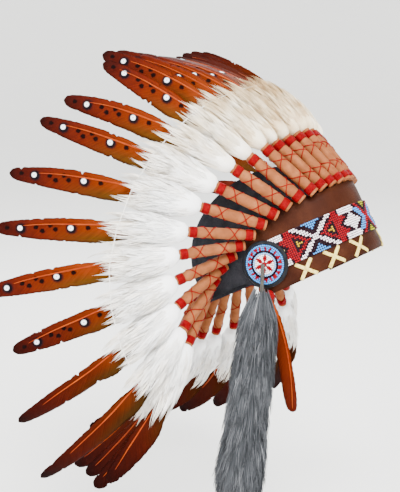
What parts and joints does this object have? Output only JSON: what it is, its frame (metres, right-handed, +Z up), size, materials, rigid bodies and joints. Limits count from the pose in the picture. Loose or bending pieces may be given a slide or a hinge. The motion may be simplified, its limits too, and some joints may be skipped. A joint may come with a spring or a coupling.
{
  "type": "feathered headdress",
  "caption": "Feathered bonnet: felt cap, suede brow band with a beaded strip, temple rosettes, a fur drop and a ring of wrapped, spotted crown feathers.",
  "frame": {"origin": "middle of the head opening, in the plane of the brow band's lower edge", "axes": "+Z up, the wearer faces -Y and the wearer's right is -X; the crown leans back 27.8 degrees about X"},
  "size_m": [0.4628, 0.3454, 0.4737],
  "materials": {
    "felt": "charcoal wool felt, matt",
    "suede": "brown suede, matt nap",
    "seed_beads": "glossy opaque seed beads in red, white, light blue, yellow and maroon",
    "lace": "cream-yellow flat lace, satin",
    "disc_leather": "black smooth leather, satin",
    "rosette_beads": "glossy opaque seed beads in light blue, white, red and black",
    "plumage": "feather: red-orange vane with painted spots, white fluff, tan leather wrap with red thread",
    "fluff": "white down, soft and matt",
    "vane": "dyed red-orange feather web, soft sheen",
    "quill": "orange quill shaft, satin",
    "wrap_leather": "tan leather wrap, satin",
    "red_thread": "red floss, glossy",
    "white_thread": "white spacing thread",
    "paint": "painted dots, white and black",
    "fur": "grey long-haired fur",
    "hackle": "orange rooster hackle, satin"
  },
  "bodies": {
    "root": {"crown_cap": "felt", "brow_band": "suede", "bead_strip": "seed_beads", "lace_cross_right_1": "lace", "lace_cross_right_2": "lace", "lace_cross_right_3": "lace", "rosette_disc_right": "disc_leather", "rosette_beads_right": "rosette_beads", "lace_cross_left_1": "lace", "lace_cross_left_2": "lace", "lace_cross_left_3": "lace", "rosette_disc_left": "disc_leather", "rosette_beads_left": "rosette_beads", "feather_centre": "plumage", "feather_right_01": "plumage", "feather_right_02": "plumage", "feather_right_03": "plumage", "feather_right_04": "plumage", "feather_right_05": "plumage", "feather_right_06": "plumage", "feather_right_07": "plumage", "feather_right_08": "plumage", "feather_right_09": "plumage", "feather_right_10": "plumage", "feather_right_11": "plumage", "feather_right_12": "plumage", "feather_right_13": "plumage", "feather_right_14": "plumage", "feather_right_15": "plumage", "feather_right_16": "plumage", "feather_right_17": "plumage", "feather_right_18": "plumage", "feather_right_19": "plumage", "feather_right_20": "plumage", "feather_left_01": "plumage", "feather_left_02": "plumage", "feather_left_03": "plumage", "feather_left_04": "plumage", "feather_left_05": "plumage", "feather_left_06": "plumage", "feather_left_07": "plumage", "feather_left_08": "plumage", "feather_left_09": "plumage", "feather_left_10": "plumage", "feather_left_11": "plumage", "feather_left_12": "plumage", "feather_left_13": "plumage", "feather_left_14": "plumage", "feather_left_15": "plumage", "feather_left_16": "plumage", "feather_left_17": "plumage", "feather_left_18": "plumage", "feather_left_19": "plumage", "feather_left_20": "plumage", "fur_drop_right": "fur", "drop_feather_right": "hackle"}
  },
  "joints": []
}
